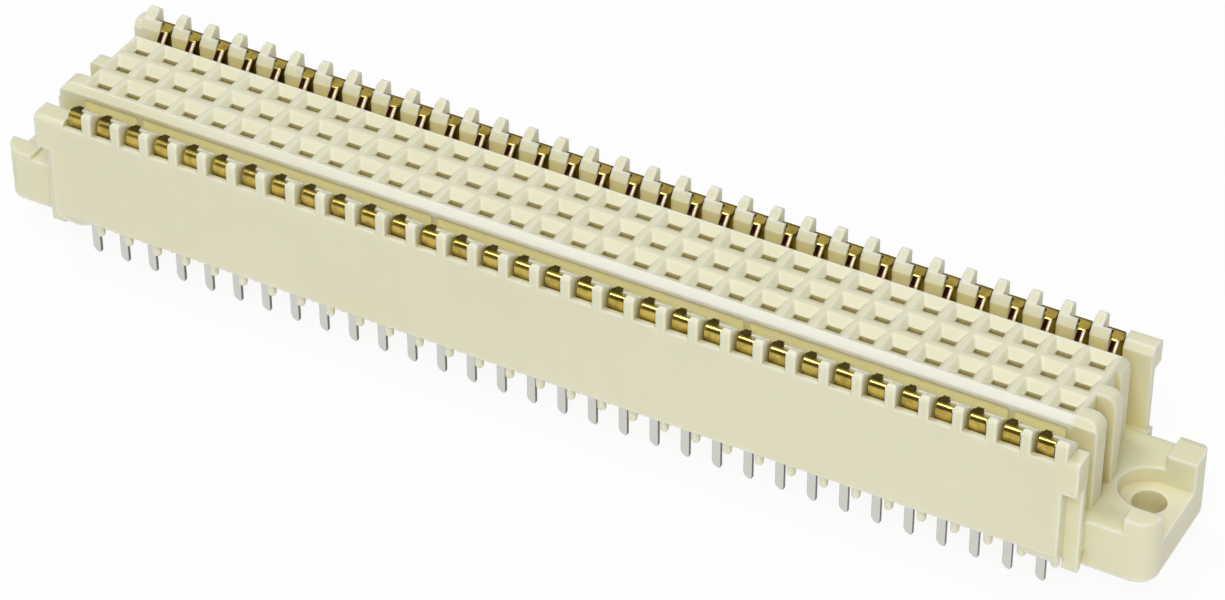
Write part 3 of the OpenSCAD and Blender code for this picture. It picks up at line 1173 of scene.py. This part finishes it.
@dataclass(frozen=True)
class SoftLamp:
    """A square soft lamp that faces a point.

    Args:
        name: the lamp's name.
        place: where it hangs, in mm.
        size: its side in mm.
        power: its power in watts.
        aim: the point it faces, in mm.
    """

    name: str
    place: Triple
    size: float
    power: float
    aim: Triple = (0, 0, 5)

    def build(self) -> None:
        """Makes the lamp and turns its face to the aim."""
        light = bpy.data.lights.new(self.name, "AREA")
        light.size = self.size * MM
        light.energy = self.power
        show(self.name, light).matrix_world = stand(self.place, self.aim)


@dataclass
class Studio:
    """The pale floor, the soft light and the camera.

    Args:
        floor_height: Z of the floor in mm, at the tips of the tails.
        floor_reach: half the side of the floor in mm.
        floor_colour: the colour of the floor.
        floor_roughness: its roughness.
        shown: how much of the floor's own light the camera sees.
        ambient: the strength of the sky as a light.
        mirrored: the strength of the sky that metal shows.
        screened: the share of it that is left where there is a screen.
        screens: the dim screens that metal shows: the way to each, and how far along that
            way the sky is still open and the screen is full.
        eye: where the camera stands, in mm.
        aim: the point in the middle of its view, in mm.
        lens: the focal length in mm on the sensor.
        lamps: the soft lamps.
    """

    floor_height: float
    floor_reach: float
    floor_colour: Colour
    floor_roughness: float
    shown: float
    ambient: float
    mirrored: float
    screened: float
    screens: tuple[tuple[Triple, float, float], ...]
    eye: Triple
    aim: Triple
    lens: float
    lamps: tuple[SoftLamp, ...]

    def seen(self, board: Board) -> Node:
        """Adds a mask that is 1 for camera, glossy and transmitted rays.

        Args:
            board: the board of the world or of the floor.

        Returns:
            The node whose first output is the mask.
        """
        path = board.add("LightPath")
        direct = board.greater((path, "Is Camera Ray"), (path, "Is Glossy Ray"))
        return board.greater((direct, 0), (path, "Is Transmission Ray"))

    def build_world(self) -> None:
        """Makes the sky.

        It is white where the camera sees it. Metal shows it pale, with a dim screen high
        in front and another low behind. It lights the object at the ambient level.
        """
        world = bpy.data.worlds.new("studio sky")
        world.use_nodes = True
        board = Board(world.node_tree)
        back = world.node_tree.nodes["Background"]
        way = board.add("TexCoord")
        sky = board.add("Math", {0: self.mirrored}, operation="MULTIPLY")
        both = board.add("Math", operation="MULTIPLY")
        for place, (toward, open_below, shut_above) in enumerate(self.screens):
            side = board.add("VectorMath", {1: toward}, operation="DOT_PRODUCT")
            board.join(way, "Generated", side, 0)
            board.join(board.ramp(side, shut_above, open_below, "Value"), 0, both, place)
        dim = board.add("MapRange", {"To Min": self.screened})
        board.join(both, 0, dim, "Value")
        board.join(dim, 0, sky, 1)
        veil = board.greater((board.add("LightPath"), "Is Camera Ray"), (sky, 0))
        strength = board.add("MapRange", {"To Min": self.ambient})
        board.join(veil, 0, strength, "To Max")
        board.join(self.seen(board), 0, strength, "Value")
        board.join(strength, 0, back, "Strength")
        back.inputs["Color"].default_value = (1, 1, 1, 1)
        bpy.context.scene.world = world

    def build_floor(self) -> None:
        """Makes the floor as one gridded sheet that keeps the object's shadow."""
        side = np.linspace(-self.floor_reach, self.floor_reach, FLOOR_POINTS)
        x, y = np.meshgrid(side, side, indexing="ij")
        points = np.stack([x, y, np.full_like(x, self.floor_height)], 2).reshape(-1, 3)
        index = np.arange(FLOOR_POINTS**2).reshape(x.shape)
        corners = (index[:-1, :-1], index[1:, :-1], index[1:, 1:], index[:-1, 1:])
        mesh = bpy.data.meshes.new("floor")
        mesh.from_pydata(points * MM, [], np.stack(corners, 2).reshape(-1, 4).tolist())
        material = bpy.data.materials.new("studio floor")
        material.use_nodes = True
        board = Board(material.node_tree)
        shader = material.node_tree.nodes["Principled BSDF"]
        shader.inputs["Base Color"].default_value = linear(self.floor_colour)
        shader.inputs["Roughness"].default_value = self.floor_roughness
        glow = board.add("Emission", {"Color": (1, 1, 1, 1), "Strength": 1.0})
        share = board.add("Math", {1: self.shown}, operation="MULTIPLY")
        mix = board.add("MixShader")
        board.join(self.seen(board), 0, share, 0)
        board.join(share, 0, mix, 0)
        board.join(shader, 0, mix, 1)
        board.join(glow, 0, mix, 2)
        out = material.node_tree.nodes["Material Output"]
        board.join(mix, 0, out, "Surface")
        mesh.materials.append(material)
        show("floor", mesh)

    def build_camera(self) -> None:
        """Sets the camera at the photograph's angle."""
        data = bpy.data.cameras.new("camera")
        data.sensor_fit = "HORIZONTAL"
        data.sensor_width = SENSOR_WIDTH
        data.lens = self.lens
        data.clip_start = NEAR_CLIP
        camera = show("camera", data)
        camera.matrix_world = stand(self.eye, self.aim)
        bpy.context.scene.camera = camera

    def build(self) -> None:
        """Makes the sky, the floor, the lamps and the camera."""
        self.build_world()
        self.build_floor()
        for lamp in self.lamps:
            lamp.build()
        self.build_camera()
        bpy.context.scene.view_settings.view_transform = "Standard"
        LOG.info("studio: floor at %.2f mm, %d lamps", self.floor_height, len(self.lamps))


# deep and pit are painted shade, rim a painted highlight, inner the colour of a painted glow
CREAM = Plastic(
    name="cream moulding",
    colour=(228, 225, 192),
    pale=(231, 228, 198),
    groove_shade=(228, 217, 160),
    slot_shade=(174, 161, 92),
    rim=(243, 243, 228),
    inner=(215, 211, 140),
)
# tarnish also stands for painted shade in hollows, edge is a painted highlight, shaded a
# painted dark reflection
SPRING_GOLD = Plating(
    name="gold over the springs",
    gold=(204, 180, 90),
    tarnish=(88, 68, 24),
    edge=(252, 242, 214),
    shaded=(96, 50, 28),
    tin=(210, 210, 204),
    tin_edge=(112, 111, 102),
)
FORK_GOLD = replace(
    SPRING_GOLD, name="gold over the forks", gold=(176, 162, 96), tarnish=(96, 84, 40)
)

STUDIO = Studio(
    floor_height=TAIL_TIP,
    floor_reach=2500,
    floor_colour=(250, 250, 250),
    floor_roughness=0.9,
    shown=0.92,
    ambient=0.29,
    mirrored=0.66,
    screened=0.1,
    screens=(((0.12, -0.72, 0.68), 0.62, 0.88), ((0.0, 0.6, -0.8), -0.22, 0.08)),
    eye=(120.821, -217.170, 198.975),
    aim=(2.887, -0.432, 5.0),
    lens=127.147,
    lamps=(
        SoftLamp("key", place=(170, -385, 455), size=280, power=1.96),
        SoftLamp("overhead", place=(-170, 20, 580), size=170, power=1.05),
    ),
)


def main() -> None:
    """Builds the studio, dresses the housing and makes the contacts."""
    logging.basicConfig(level=logging.INFO, format="%(name)s: %(message)s")
    MOULDED.build()
    PLATED.build()
    STUDIO.build()
    Housing("housing", CREAM).dress()
    made = Contacts(SPRING_GOLD, FORK_GOLD, OuterSpring(), ForkContact()).build()
    LOG.info("contacts: %d banks", len(made))


if __name__ == "__main__":
    main()
